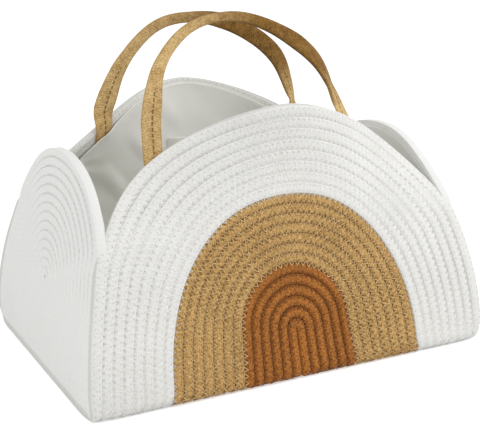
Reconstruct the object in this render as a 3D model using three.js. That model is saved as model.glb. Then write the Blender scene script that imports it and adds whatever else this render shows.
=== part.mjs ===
// Rope caddy: one long oval mat of coiled rope folded up at front and back, two coiled side walls,
// a cloth lining with a back pocket, and two strap handles that swing where they leave the rim.
// Millimetres, +Z up, +X along the width, origin on the floor under the middle of the base.
import * as THREE from 'three';
import { mergeVertices } from 'three/addons/utils/BufferGeometryUtils.js';

// Basket body
const baseWidth = 380;
const baseDepth = 267;
const ropeThickness = 8;
const foldRadius = 12;
const wallFootHeight = 18;
const rimBevel = 3;
const seamGap = 0.3;
const bandGap = 0.5;

// Corner seams, where a front or back wall meets a side wall, up to the notch between them
const notchHeight = 124;
const cornerInsetX = 19;
const cornerInsetY = 27;
const cornerCurvePowerShare = 2;

// Front and back walls
const frontHeight = 229.5;
const frontLean = 36;
const frontLeanHeight = 179;
const frontShoulderCurl = 136;
const frontArchDrop = 64;
const frontArchPowerShare = 1.74;

// Side walls
const sideHeight = 188.5;
const sideLean = 25.5;
const sideLeanPowerShare = 1.3;
const sideShoulderCurl = 4;
const sideArchDrop = 120;
const sideArchPowerShare = 2.16;
const shoulderPowerShare = 1.4;

// Colour bands of the mat: half widths at the floor and where the arch springs, and arch heights
const rustFootHalf = 55;
const rustSpringHalf = 51;
const rustSpringHeight = 50;
const rustArchHeight = 96.5;
const rustArchPowerShare = 1.9;
const tanFootHalf = 122;
const tanSpringHalf = 119;
const tanSpringHeight = 13;
const tanArchHeight = 155;
const tanArchPowerShare = 2.1;

// Rope courses
const rustCourses = 6;
const tanCourses = 7;
const whiteCourses = 8;
const sideCourses = 15;
const matSpineHeight = 42;
const sideSpineHeight = 80;
const grooveDepth = 1.8;
const crestStartShare = 0.28;
const crestEndShare = 0.72;

// Cloth lining and pocket
const clothThickness = 1.5;
const liningHem = 9.5;
const liningGap = 0.6;
const pocketSeatGap = 1.1;
const pocketLeft = -12;
const pocketRight = 80;
const pocketBottom = 62;
const pocketTop = 173;
const pocketBulge = 15;
const pocketSideShares = [0, 0.06, 0.2, 0.5, 0.8, 0.94, 1];
const pocketRiseShares = [0, 0.12, 0.4, 0.7, 1];

// Strap handles
const strapEndWidth = 18;
const strapEndThickness = 3;
const strapHingeRadius = 3;
const strapEndRoundShares = [0.97, 0.7];
const gripWidth = 11;
const gripThickness = 9;
const strapSeatGap = 0.6;
const strapHingeRise = 9.3;
const strapInsetPowerShare = 1.5;

// Front strap: its legs, its crown, and how its soft arch droops between them
const frontLeftLeg = 104.4;
const frontRightLeg = 73.3;
const frontCrownHeight = 298.6;
const frontCrownInset = 45;
const frontAlongShares = [0, 0.062, 0.235, 0.469, 0.698, 0.889, 1];
const frontRiseShares = [0, 0.534, 0.901, 0.989, 0.82, 0.489, 0];

// Back strap
const backLeftLeg = 97.9;
const backRightLeg = 95.8;
const backCrownHeight = 288.6;
const backCrownInset = 50;
const backAlongShares = [0, 0.089, 0.249, 0.474, 0.694, 0.875, 1];
const backRiseShares = [0, 0.527, 0.924, 0.984, 0.819, 0.471, 0];

// Steps of the faceted surfaces
const cornerSteps = 3;
const archSteps = 5;
const strapSteps = 26;
const strapSides = 10;
const searchSteps = 40;
const slopeStepShare = 0.001;

const materials = {
  rust: new THREE.MeshStandardMaterial({ color: 0xa8622f, roughness: 0.9, metalness: 0 }),
  tan: new THREE.MeshStandardMaterial({ color: 0xb8894b, roughness: 0.92, metalness: 0 }),
  white: new THREE.MeshStandardMaterial({ color: 0xe9e9e4, roughness: 0.92, metalness: 0 }),
  cloth: new THREE.MeshStandardMaterial({ color: 0xc8c8c1, roughness: 0.85, metalness: 0 }),
  strap: new THREE.MeshStandardMaterial({ color: 0xc29a5b, roughness: 0.88, metalness: 0 }),
};

const quarterTurn = Math.PI / 2;
const lerp = THREE.MathUtils.lerp;
const cornerShift = seamGap * Math.SQRT1_2;
const liningOuterDepth = ropeThickness + liningGap;
const liningInnerDepth = liningOuterDepth + clothThickness;

// A wall is described in its own plane by 'along' and height, and by its distance from the middle.
const frontWall = {
  half: baseWidth / 2,
  away: baseDepth / 2,
  cornerAlong: cornerInsetX,
  cornerAway: cornerInsetY,
  height: frontHeight,
  archDrop: frontArchDrop,
  archPowerShare: frontArchPowerShare,
  curl: frontShoulderCurl,
  lean: (z) => frontLean * Math.sin((quarterTurn * z) / frontLeanHeight),
};
const sideWall = {
  half: baseDepth / 2,
  away: baseWidth / 2,
  cornerAlong: cornerInsetY,
  cornerAway: cornerInsetX,
  height: sideHeight,
  archDrop: sideArchDrop,
  archPowerShare: sideArchPowerShare,
  curl: sideShoulderCurl,
  lean: (z) => sideLean * Math.max(z / sideHeight, 0) ** sideLeanPowerShare,
};

const handles = [
  {
    name: 'front_handle', side: -1, legs: [-frontLeftLeg, frontRightLeg], crownInset: frontCrownInset,
    crownHeight: frontCrownHeight, alongShares: frontAlongShares, riseShares: frontRiseShares,
  },
  {
    name: 'back_handle', side: 1, legs: [-backLeftLeg, backRightLeg], crownInset: backCrownInset,
    crownHeight: backCrownHeight, alongShares: backAlongShares, riseShares: backRiseShares,
  },
];

// How far a corner seam has moved in by a height, out of its whole inset.
function cornerInset(inset, z) {
  return inset * (Math.min(z, notchHeight) / notchHeight) ** cornerCurvePowerShare;
}

function edgeHalf(wall, z) {
  return wall.half - cornerInset(wall.cornerAlong, z);
}

// Distance of a wall's outer face from the middle plane.
function wallDistance(wall, along, z) {
  const low = Math.min(z, notchHeight);
  const rise = Math.max(z - notchHeight, 0) / (wall.height - notchHeight);
  const edgeShare = (along / edgeHalf(wall, z)) ** 2;
  const cornerExtra = cornerInset(wall.cornerAway, low) - wall.lean(low);
  const edgeExtra = cornerExtra + wall.curl * rise ** shoulderPowerShare;
  return wall.away - wall.lean(z) - edgeShare * edgeExtra;
}

// The arch over the notch: a superellipse that passes through the notch, drawn in by a margin.
function archShape(wall, margin) {
  const centre = notchHeight - wall.archDrop;
  const power = wall.archPowerShare;
  const notchShare = wall.archDrop / (wall.height - centre);
  const half = edgeHalf(wall, notchHeight) / (1 - notchShare ** power) ** (1 / power);
  return { centre, power, half: half - margin, rise: wall.height - centre - margin };
}

function archHeightAt(arch, along) {
  const share = Math.min(Math.abs(along) / arch.half, 1);
  return arch.centre + arch.rise * (1 - share ** arch.power) ** (1 / arch.power);
}

// Half width of a colour band on the mat at a height: straight legs, then an arch.
function bandHalf(footHalf, springHalf, springHeight, archHeight, power) {
  return (z) => {
    if (z <= springHeight) return lerp(footHalf, springHalf, z / springHeight);
    const share = (z - springHeight) / (archHeight - springHeight);
    return share >= 1 ? 0 : springHalf * (1 - share ** power) ** (1 / power);
  };
}

const rustHalf = bandHalf(
  rustFootHalf, rustSpringHalf, rustSpringHeight, rustArchHeight, rustArchPowerShare,
);
const tanHalf = bandHalf(
  tanFootHalf, tanSpringHalf, tanSpringHeight, tanArchHeight, tanArchPowerShare,
);

// A stage is one step of a wall's outline, from the floor over the fold and the corner to the apex.
function foldStage(turn) {
  return {
    fold: true,
    z: foldRadius * (1 - Math.cos(turn)),
    setback: foldRadius * (1 - Math.sin(turn)),
    inward: { away: -Math.sin(turn), up: Math.cos(turn) },
  };
}

function cornerStages() {
  const stages = [foldStage(0), foldStage(quarterTurn / 2)];
  for (let step = 0; step <= cornerSteps; step += 1) {
    stages.push({ z: lerp(wallFootHeight, notchHeight, step / cornerSteps), setback: 0 });
  }
  return stages;
}

function archStages(wall) {
  const arch = archShape(wall, 0);
  const notchTurn = Math.asin(((notchHeight - arch.centre) / arch.rise) ** (arch.power / 2));
  const stages = [];
  for (let step = 1; step <= archSteps; step += 1) {
    const turn = lerp(notchTurn, quarterTurn, step / archSteps);
    stages.push({
      arch: true,
      z: arch.centre + arch.rise * Math.sin(turn) ** (2 / arch.power),
      along: arch.half * Math.max(Math.cos(turn), 0) ** (2 / arch.power),
      setback: 0,
    });
  }
  return stages;
}

// Inward direction of the folded mat, in the plane across the front wall.
function matInward(along, stage) {
  if (stage.fold) return stage.inward;
  const step = frontHeight * slopeStepShare;
  const away = wallDistance(frontWall, along, stage.z);
  const slope = (wallDistance(frontWall, along, stage.z + step) - away) / step;
  const length = Math.hypot(1, slope);
  return { away: -1 / length, up: slope / length };
}

function matPoint(along, stage, depth) {
  const inward = matInward(along, stage);
  const away = wallDistance(frontWall, along, stage.z) - stage.setback;
  return [along, away + depth * inward.away, stage.z + depth * inward.up];
}

// Inward direction of the corner seam, in the plane of a side wall.
function cornerInward(stage) {
  if (stage.fold) return stage.inward;
  const slope = (-cornerCurvePowerShare * cornerInset(cornerInsetY, stage.z)) / stage.z;
  const length = Math.hypot(1, slope);
  return { away: -1 / length, up: slope / length };
}

// A point of the mitre between a front wall and a side wall: both faces are 'depth' away from it.
function cornerPoint(stage, depth) {
  const inward = cornerInward(stage);
  return {
    x: edgeHalf(frontWall, stage.z) - depth,
    y: edgeHalf(sideWall, stage.z) - stage.setback + depth * inward.away,
    z: stage.z + depth * inward.up,
  };
}

function matCorner(stage, depth) {
  const corner = cornerPoint(stage, depth);
  return [corner.x - cornerShift, corner.y, corner.z];
}

function sideCorner(stage, depth) {
  const corner = cornerPoint(stage, depth);
  const inward = cornerInward(stage);
  return [corner.x, corner.y + cornerShift * inward.away, corner.z + cornerShift * inward.up];
}

function sidePoint(along, stage, z, depth) {
  const lift = stage.fold ? depth * stage.inward.up + cornerShift * stage.inward.up : 0;
  return [wallDistance(sideWall, along, z) - depth, along, z + lift];
}

// Where a stage's line across the courses starts, and where it crosses a band's edge.
function spinePoint(stage, spineHeight) {
  return { along: 0, z: Math.min(stage.z, spineHeight) };
}

function bandPoint(halfAt, stage, outlineAlong, spineHeight) {
  if (stage.z <= spineHeight) return { along: halfAt(stage.z), z: stage.z };
  const angle = Math.atan2(stage.z - spineHeight, outlineAlong);
  let near = 0;
  let far = Math.hypot(outlineAlong, stage.z - spineHeight) + ropeThickness;
  for (let step = 0; step < searchSteps; step += 1) {
    const middle = (near + far) / 2;
    const inside = middle * Math.cos(angle) < halfAt(spineHeight + middle * Math.sin(angle));
    if (inside) near = middle;
    else far = middle;
  }
  return { along: near * Math.cos(angle), z: spineHeight + near * Math.sin(angle) };
}

function between(start, end, share) {
  return { along: lerp(start.along, end.along, share), z: lerp(start.z, end.z, share) };
}

// A point moved towards another one by a distance.
function nudged(point, target, distance) {
  const length = Math.hypot(target.along - point.along, target.z - point.z);
  return length === 0 ? point : between(point, target, distance / length);
}

// Shares and depths across a run of courses: each course has a flat crest between two grooves.
function courseProfile(courses) {
  const profile = [];
  for (let course = 0; course < courses; course += 1) {
    profile.push({ share: course / courses, depth: grooveDepth });
    profile.push({ share: (course + crestStartShare) / courses, depth: 0 });
    profile.push({ share: (course + crestEndShare) / courses, depth: 0 });
  }
  return profile;
}

// One line of points across a band of the mat, outer face first and then back along the inner face.
function matSection(stage, band) {
  const outlineAlong = stage.arch ? stage.along : edgeHalf(frontWall, stage.z);
  const outline = { along: outlineAlong, z: stage.z };
  const spine = spinePoint(stage, matSpineHeight);
  const crossing = (halfAt) => bandPoint(halfAt, stage, outlineAlong, matSpineHeight);
  const innerEdge = band.innerHalf ? crossing(band.innerHalf) : spine;
  const outerEdge = band.outerHalf ? crossing(band.outerHalf) : outline;
  const start = band.innerHalf ? nudged(innerEdge, outline, bandGap / 2) : innerEdge;
  const end = band.outerHalf ? nudged(outerEdge, spine, bandGap / 2) : outerEdge;
  const at = (place, depth) => matPoint(place.along, { ...stage, z: place.z }, depth);
  const profile = courseProfile(band.courses);
  const points = profile.map(({ share, depth }) => at(between(start, end, share), depth));
  if (band.outerHalf) {
    points.push(at(end, grooveDepth), at(end, ropeThickness));
  } else if (stage.arch) {
    points.push(at(end, 0), at(nudged(end, spine, rimBevel), ropeThickness));
    points.push(at(nudged(end, spine, liningHem), ropeThickness));
  } else {
    points.push(matCorner(stage, 0), matCorner(stage, ropeThickness));
    points.push(matCorner(stage, ropeThickness));
  }
  points.push(at(between(start, end, 1 / 2), ropeThickness));
  points.push(at(start, ropeThickness));
  return points;
}

function sideSection(stage) {
  const outline = { along: stage.arch ? stage.along : cornerPoint(stage, 0).y, z: stage.z };
  const spine = spinePoint(stage, sideSpineHeight);
  const at = (place, depth) => sidePoint(place.along, stage, place.z, depth);
  const points = [];
  const groove = stage.fold && stage.z === 0 ? 0 : grooveDepth;
  for (let course = 0; course < sideCourses; course += 1) {
    points.push(at(between(spine, outline, course / sideCourses), groove));
    points.push(at(between(spine, outline, (course + 1 / 2) / sideCourses), 0));
  }
  if (stage.arch) {
    points.push(at(outline, 0), at(nudged(outline, spine, rimBevel), ropeThickness));
    points.push(at(nudged(outline, spine, liningHem), ropeThickness));
  } else {
    points.push(sideCorner(stage, 0), sideCorner(stage, ropeThickness));
    points.push(sideCorner(stage, ropeThickness));
  }
  points.push(at(between(spine, outline, 1 / 2), ropeThickness));
  points.push(at(spine, ropeThickness));
  return points;
}

const mirrored = (points, signX, signY) => points.map(([x, y, z]) => [signX * x, signY * y, z]);

function squaredDistance([ax, ay, az], [bx, by, bz]) {
  return (ax - bx) ** 2 + (ay - by) ** 2 + (az - bz) ** 2;
}

// Quads between lines of points, as a triangle list. Lines and their ends can close on themselves.
// Each quad is split along its shorter diagonal, so that facing surfaces split alike.
function skin(lines, closedLines, closedEnds) {
  const triangles = [];
  const lineCount = lines.length;
  const pointCount = lines[0].length;
  for (let i = 0; i < (closedLines ? lineCount : lineCount - 1); i += 1) {
    const line = lines[i];
    const next = lines[(i + 1) % lineCount];
    for (let j = 0; j < (closedEnds ? pointCount : pointCount - 1); j += 1) {
      const k = (j + 1) % pointCount;
      if (squaredDistance(line[j], next[k]) <= squaredDistance(next[j], line[k])) {
        triangles.push([line[j], next[j], next[k]], [line[j], next[k], line[k]]);
      } else {
        triangles.push([line[j], next[j], line[k]], [next[j], next[k], line[k]]);
      }
    }
  }
  return triangles;
}

function signedVolume(triangles) {
  const [a, b, c] = [new THREE.Vector3(), new THREE.Vector3(), new THREE.Vector3()];
  return triangles.reduce((sum, [p, q, r]) => sum + a.set(...p).dot(b.set(...q).cross(c.set(...r))), 0);
}

// Welds a triangle list into one closed body whose faces point out, without collapsed triangles.
function closedBody(triangles) {
  const facing = signedVolume(triangles) < 0 ? triangles.map(([p, q, r]) => [p, r, q]) : triangles;
  const soup = new THREE.BufferGeometry();
  soup.setAttribute('position', new THREE.Float32BufferAttribute(facing.flat(2), 3));
  const welded = mergeVertices(soup);
  const corners = welded.index.array;
  const kept = [];
  for (let i = 0; i < corners.length; i += 3) {
    const [p, q, r] = [corners[i], corners[i + 1], corners[i + 2]];
    if (p !== q && q !== r && r !== p) kept.push(p, q, r);
  }
  welded.setIndex(kept);
  welded.computeVertexNormals();
  return welded;
}

function namedMesh(name, geometry, material) {
  const mesh = new THREE.Mesh(geometry, material);
  mesh.name = name;
  return mesh;
}

// A rope band of the long mat: a loop of sections up the front, over the base and up the back.
function matBand(band) {
  const half = [...cornerStages(), ...archStages(frontWall)].map((stage) => matSection(stage, band));
  const downAgain = half.slice(0, -1).reverse();
  const loop = [
    ...half.map((line) => mirrored(line, -1, -1)),
    ...downAgain.map((line) => mirrored(line, 1, -1)),
    ...half.map((line) => mirrored(line, 1, 1)),
    ...downAgain.map((line) => mirrored(line, -1, 1)),
  ];
  return closedBody(skin(loop, true, Boolean(band.innerHalf)));
}

// The slanted bottom edge of a side wall: triangles from its outer courses across to its inner face.
function bottomEdge(line) {
  const outerCount = 2 * sideCourses + 1;
  const outer = line.slice(0, outerCount);
  const inner = line.slice(outerCount).reverse();
  const triangles = [];
  let i = 0;
  let j = 0;
  while (i < outer.length - 1 || j < inner.length - 1) {
    const outerLeft = i < outer.length - 1;
    const innerLeft = j < inner.length - 1;
    if (outerLeft && (!innerLeft || Math.abs(outer[i + 1][1]) <= Math.abs(inner[j + 1][1]))) {
      triangles.push([outer[i], outer[i + 1], inner[j]]);
      i += 1;
    } else {
      triangles.push([inner[j + 1], inner[j], outer[i]]);
      j += 1;
    }
  }
  return triangles;
}

// A side wall: arches of rope about an upright spine, closed along the slanted bottom edge.
function sideRope(signX) {
  const half = [...cornerStages(), ...archStages(sideWall)].map(sideSection);
  const downAgain = half.slice(0, -1).reverse();
  const lines = [
    ...half.map((line) => mirrored(line, signX, -1)),
    ...downAgain.map((line) => mirrored(line, signX, 1)),
  ];
  const frontEdge = bottomEdge(lines[0]);
  const backEdge = bottomEdge(lines[lines.length - 1]).map(([p, q, r]) => [p, r, q]);
  return closedBody([...skin(lines, false, false), ...frontEdge, ...backEdge]);
}

// A thin sheet between two grids of points, with its four edges closed.
function sheet(outerGrid, innerGrid) {
  const rim = (grid) => [
    ...grid[0],
    ...grid.slice(1, -1).map((row) => row[row.length - 1]),
    ...[...grid[grid.length - 1]].reverse(),
    ...grid.slice(1, -1).map((row) => row[0]).reverse(),
  ];
  return closedBody([
    ...skin(outerGrid, false, false),
    ...skin([...innerGrid].reverse(), false, false),
    ...skin([rim(innerGrid), rim(outerGrid)], false, true),
  ]);
}

// One line of a long wall's lining, on the same places as the inner face of the rope behind it.
function liningLine(stage, depth) {
  const outlineAlong = stage.arch ? stage.along : edgeHalf(frontWall, stage.z);
  const outline = { along: outlineAlong, z: stage.z };
  const spine = spinePoint(stage, matSpineHeight);
  const rustEdge = bandPoint(rustHalf, stage, outlineAlong, matSpineHeight);
  const tanEdge = bandPoint(tanHalf, stage, outlineAlong, matSpineHeight);
  const places = [
    spine, between(spine, rustEdge, 1 / 2),
    rustEdge, between(rustEdge, tanEdge, 1 / 2),
    tanEdge, between(tanEdge, outline, 1 / 2),
  ];
  const points = places.map((place) => matPoint(place.along, { ...stage, z: place.z }, depth));
  if (!stage.arch) return [...points, matCorner(stage, depth)];
  const hem = nudged(outline, spine, liningHem);
  return [...points, matPoint(hem.along, { ...stage, z: hem.z }, depth)];
}

function sideLiningLine(stage, depth) {
  const outline = { along: stage.arch ? stage.along : cornerPoint(stage, 0).y, z: stage.z };
  const spine = spinePoint(stage, sideSpineHeight);
  const places = [spine, between(spine, outline, 1 / 2)];
  const points = places.map((place) => sidePoint(place.along, stage, place.z, depth));
  if (!stage.arch) return [...points, sideCorner(stage, depth)];
  const hem = nudged(outline, spine, liningHem);
  return [...points, sidePoint(hem.along, stage, hem.z, depth)];
}

// A wall lining: lines over one half of the wall and down its mirrored half, in two layers.
function wallLining(wall, lineAt, placed) {
  const face = (depth) => {
    const half = [...cornerStages(), ...archStages(wall)].map((stage) => lineAt(stage, depth));
    const downAgain = half.slice(0, -1).reverse();
    return [...half.map((line) => placed(line, -1)), ...downAgain.map((line) => placed(line, 1))];
  };
  const outer = face(liningOuterDepth);
  const inner = face(liningInnerDepth);
  const rim = (lines) => lines.map((line) => line[line.length - 1]);
  const foot = (lines) => [...[...lines[0]].reverse(), ...lines[lines.length - 1]];
  return closedBody([
    ...skin(outer, false, false),
    ...skin([...inner].reverse(), false, false),
    ...skin([rim(inner), rim(outer)], false, false),
    ...skin([foot(outer), foot(inner)], false, false),
  ]);
}

function longLining(signY) {
  return wallLining(frontWall, liningLine, (line, half) => mirrored(line, half, signY));
}

function sideLining(signX) {
  return wallLining(sideWall, sideLiningLine, (line, half) => mirrored(line, signX, half));
}

// The floor cloth lies on the base between the folds, with slanted ends against the side linings.
function floorLining() {
  const face = (depth) => {
    const halfX = baseWidth / 2 - depth - cornerShift;
    const halfY = baseDepth / 2 - foldRadius - seamGap;
    return [-halfX, 0, halfX].map((x) => [-halfY, 0, halfY].map((y) => [x, y, depth]));
  };
  return sheet(face(liningOuterDepth), face(liningInnerDepth));
}

// The pocket: a cloth sheet on the back lining, sewn at its sides and bottom and open at the top.
function backPocket() {
  const standOff = (sideShare, riseShare) => {
    const across = Math.sin(Math.PI * sideShare) ** (1 / 2);
    return pocketSeatGap + pocketBulge * across * Math.sin(quarterTurn * riseShare);
  };
  const face = (extra) => pocketRiseShares.map((riseShare) => pocketSideShares.map((sideShare) => {
    const stage = { z: lerp(pocketBottom, pocketTop, riseShare), setback: 0 };
    const along = lerp(pocketLeft, pocketRight, sideShare);
    return matPoint(along, stage, liningInnerDepth + standOff(sideShare, riseShare) + extra);
  }));
  return sheet(face(0), face(clothThickness));
}

// Middle of the strap's hinge line, measured inwards of the wall at the leg that stands further in.
function hingeAway(handle) {
  const rim = archShape(frontWall, 0);
  const walls = handle.legs.map((leg) => wallDistance(frontWall, leg, archHeightAt(rim, leg)));
  return Math.min(...walls) - ropeThickness - strapSeatGap - strapHingeRadius;
}

// The hinge line lies a little above the rim at the leg where the rim is higher.
function hingeHeight(handle) {
  const rim = archShape(frontWall, 0);
  return Math.max(...handle.legs.map((leg) => archHeightAt(rim, leg))) + strapHingeRise;
}

// The strap's centre line from the left hinge over the crown to the right hinge.
function strapLine(handle) {
  const [left, right] = handle.legs;
  const points = handle.riseShares.map((riseShare, i) => new THREE.Vector3(
    lerp(left, right, handle.alongShares[i]),
    handle.side * lerp(hingeAway(handle), handle.crownInset, riseShare ** strapInsetPowerShare),
    lerp(hingeHeight(handle), handle.crownHeight, riseShare),
  ));
  return new THREE.CatmullRomCurve3(points, false, 'catmullrom');
}

// An oblong ring of points about a strap's centre line.
function strapRing(centre, widthWay, thickWay, width, thickness) {
  const squared = (value) => Math.sign(value) * Math.abs(value) ** (1 / 2);
  const ring = [];
  for (let side = 0; side < strapSides; side += 1) {
    const angle = (2 * Math.PI * side) / strapSides;
    const point = centre.clone();
    point.addScaledVector(widthWay, (squared(Math.cos(angle)) * width) / 2);
    point.addScaledVector(thickWay, (squared(Math.sin(angle)) * thickness) / 2);
    ring.push(point.toArray());
  }
  return ring;
}

// Direction of the strap's centre line, square to the hinge line at both ends.
function strapWay(line, share, planeWay) {
  if (share === 0) return planeWay.clone();
  return share === 1 ? planeWay.clone().negate() : line.getTangent(share);
}

// The rings of a strap's lower end, rounded about the hinge line so that it turns clear of its
// sewn end, from the lowest ring up.
function roundedEnd(centre, endRing) {
  return strapEndRoundShares.map((dropShare) => endRing.map(([x, y]) => {
    const thicknessShare = Math.sqrt(1 - dropShare * dropShare);
    return [x, centre.y + (y - centre.y) * thicknessShare, centre.z - strapHingeRadius * dropShare];
  }));
}

// The moving strap: flat and wide at its ends, rolled narrow and thick at the crown.
function strapHandle(handle) {
  const line = strapLine(handle);
  const planeWay = line.getPoint(1 / 2).sub(line.getPoint(0)).setX(0).normalize();
  const thickWay = new THREE.Vector3(1, 0, 0).cross(planeWay).normalize();
  const rings = [];
  for (let step = 0; step <= strapSteps; step += 1) {
    const share = step / strapSteps;
    const widthWay = thickWay.clone().cross(strapWay(line, share, planeWay)).normalize();
    const gripShare = Math.sin(Math.PI * share) ** 2;
    const width = lerp(strapEndWidth, gripWidth, gripShare);
    const thickness = lerp(2 * strapHingeRadius, gripThickness, gripShare);
    rings.push(strapRing(line.getPoint(share), widthWay, thickWay, width, thickness));
  }
  const leftEnd = roundedEnd(line.getPoint(0), rings[0]);
  const rightEnd = roundedEnd(line.getPoint(1), rings[strapSteps]).reverse();
  const all = [...leftEnd, ...rings, ...rightEnd];
  return closedBody([
    ...skin(all, false, true),
    ...fan(all[0], false),
    ...fan(all[all.length - 1], true),
  ]);
}

// Triangles from a ring to its middle.
function fan(ring, flipped) {
  const middle = ring.reduce((sum, p) => sum.map((value, i) => value + p[i] / ring.length), [0, 0, 0]);
  return ring.map((point, i) => {
    const next = ring[(i + 1) % ring.length];
    return flipped ? [middle, next, point] : [middle, point, next];
  });
}

// A strap's fixed end: it comes out over the lining's edge, lies on the rope inside the rim and
// rises to the hinge line.
function strapEnd(handle, leg) {
  const edge = archShape(frontWall, 0);
  const hem = archShape(frontWall, liningHem);
  const top = hingeHeight(handle) - strapHingeRadius - seamGap;
  const columns = [leg - strapEndWidth / 2, leg, leg + strapEndWidth / 2];
  const face = (inner) => {
    const depth = ropeThickness + strapSeatGap + (inner ? strapEndThickness : 0);
    const row = (heightAt) => columns.map((x) => matPoint(x, { z: heightAt(x), setback: 0 }, depth));
    const topAway = hingeAway(handle) + (inner ? -1 : 1) * (strapEndThickness / 2);
    const rows = [
      row((x) => archHeightAt(hem, x) + seamGap + clothThickness),
      row((x) => archHeightAt(edge, x)),
      columns.map((x) => [x, topAway, top]),
    ];
    return rows.map((points) => mirrored(points, 1, handle.side));
  };
  return sheet(face(false), face(true));
}

const mat = [
  {
    name: 'rust_rope', courses: rustCourses, outerHalf: rustHalf, material: materials.rust,
  },
  {
    name: 'tan_rope', courses: tanCourses, innerHalf: rustHalf, outerHalf: tanHalf, material: materials.tan,
  },
  {
    name: 'white_rope', courses: whiteCourses, innerHalf: tanHalf, material: materials.white,
  },
];

const caddy = new THREE.Group();
caddy.name = 'caddy';
for (const band of mat) {
  caddy.add(namedMesh(band.name, matBand(band), band.material));
}
caddy.add(namedMesh('left_side_rope', sideRope(-1), materials.white));
caddy.add(namedMesh('right_side_rope', sideRope(1), materials.white));
caddy.add(namedMesh('floor_lining', floorLining(), materials.cloth));
caddy.add(namedMesh('left_lining', sideLining(-1), materials.cloth));
caddy.add(namedMesh('right_lining', sideLining(1), materials.cloth));
caddy.add(namedMesh('back_pocket', backPocket(), materials.cloth));
for (const handle of handles) {
  const wallName = handle.side < 0 ? 'front' : 'back';
  caddy.add(namedMesh(`${wallName}_lining`, longLining(handle.side), materials.cloth));
  caddy.add(namedMesh(handle.name, strapHandle(handle), materials.strap));
  caddy.add(namedMesh(`${handle.name}_left_end`, strapEnd(handle, handle.legs[0]), materials.strap));
  caddy.add(namedMesh(`${handle.name}_right_end`, strapEnd(handle, handle.legs[1]), materials.strap));
}

export default caddy;
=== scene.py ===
"""Looks of the rope caddy: coiled rope walls, cloth lining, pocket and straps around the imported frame."""

import math

import bpy
import numpy as np
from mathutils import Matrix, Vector


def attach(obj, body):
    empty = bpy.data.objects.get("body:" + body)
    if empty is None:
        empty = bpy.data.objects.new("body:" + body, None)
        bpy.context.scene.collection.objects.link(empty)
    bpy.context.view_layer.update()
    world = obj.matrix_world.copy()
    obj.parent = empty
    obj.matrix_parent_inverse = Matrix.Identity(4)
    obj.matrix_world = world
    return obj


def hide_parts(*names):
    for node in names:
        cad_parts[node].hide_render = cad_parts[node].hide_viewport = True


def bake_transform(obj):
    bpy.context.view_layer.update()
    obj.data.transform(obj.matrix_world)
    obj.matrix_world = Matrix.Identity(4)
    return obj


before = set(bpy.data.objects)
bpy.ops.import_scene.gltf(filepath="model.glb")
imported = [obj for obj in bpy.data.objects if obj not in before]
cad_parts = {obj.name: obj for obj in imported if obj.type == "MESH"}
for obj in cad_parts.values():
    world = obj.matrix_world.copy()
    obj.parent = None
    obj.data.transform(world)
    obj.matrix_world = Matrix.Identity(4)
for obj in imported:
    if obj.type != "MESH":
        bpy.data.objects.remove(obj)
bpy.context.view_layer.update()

# Basket body, in metres
BASE_WIDTH = 0.380
BASE_DEPTH = 0.267
ROPE_THICKNESS = 0.008
FOLD_RADIUS = 0.009
NOTCH_HEIGHT = 0.124
CORNER_INSET_X = 0.019
CORNER_INSET_Y = 0.027
LONG_HEIGHT = 0.2295
LONG_LEAN = 0.036
LONG_LEAN_HEIGHT = 0.179
LONG_SHOULDER_CURL = 0.136
LONG_ARCH_DROP = 0.064
LONG_ARCH_POWER = 1.74
SIDE_HEIGHT = 0.1885
SIDE_LEAN = 0.0255
SIDE_LEAN_POWER = 1.3
SIDE_SHOULDER_CURL = 0.004
SIDE_ARCH_DROP = 0.120
SIDE_ARCH_POWER = 2.16
SIDE_FOOT = 0.0042
SIDE_SEAM_EASE = 0.015
SHOULDER_POWER = 1.4
MAT_SPINE_HEIGHT = 0.042
SIDE_SPINE_HEIGHT = 0.080

# How the soft walls of this one have settled: the back wall lower and more curled, tops aside
BACK_DROOP = 0.003
BACK_CURL = 0.190
BACK_SWAY = -0.008
LEFT_SWAY = -0.0065
LEFT_RISE = 0.0015
RIGHT_SWAY = -0.002
RIGHT_RISE = -0.0035
RIGHT_CURL = 0.020
SWAY_START = 0.105
SWAY_END = 0.185
CORNER_ROUND_REACH = 0.032
CORNER_ROUND_HEIGHT = 0.026
CORNER_ROUND_PULL = 0.006

# Colour bands of the mat
RUST_BAND = {"foot": 0.055, "spring": 0.051, "spring_height": 0.050, "arch": 0.0965, "power": 1.9}
TAN_BAND = {"foot": 0.122, "spring": 0.119, "spring_height": 0.013, "arch": 0.155, "power": 2.1}
RUST_COURSES = 6
TAN_COURSES = 7
WHITE_COURSES = 8
SIDE_COURSES = 14

# Stations along the courses and rays of the arches
BASE_ROWS = 20
FOLD_ROWS = 9
LEG_ROWS = 6
ARCH_RAYS = 44
SIDE_FOOT_ROWS = 12
RIM_RAYS = 400
SIDE_RIM_RAYS = 300
HEM_RAYS = 200
HALVINGS = 40
EDGE_STEP = 0.001
FEWEST_STEPS = 4

# Rope: its section is a rounded oblong, squarer where the courses lie flatter
ROPE_STEP = 0.003
ROPE_SIDES = 16
ROPE_SHAPES = {
    "side": {"Squareness": 20.0, "Fullness": 1.17, "Thickness": 0.0079},
    "white": {"Squareness": 5.6, "Fullness": 1.11, "Thickness": 0.0079},
    "tan": {"Squareness": 2.5, "Fullness": 1.05, "Thickness": 0.0081},
    "rust": {"Squareness": 2.3, "Fullness": 1.05, "Thickness": 0.0083},
}

# Zigzag stitches over the grooves, four steps of thread to a period
THREAD_RADII = {"white": 0.00036, "tan": 0.00038, "rust": 0.00036}
STITCH_PERIOD = 0.0056
STITCH_STEPS = 4
STITCH_REACH = 0.0023
STITCH_DIP = 0.0006
STITCH_RISE = 0.0007
SIDE_STITCH_RISE = 0.0002
THREAD_SIDES = 4

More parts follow.
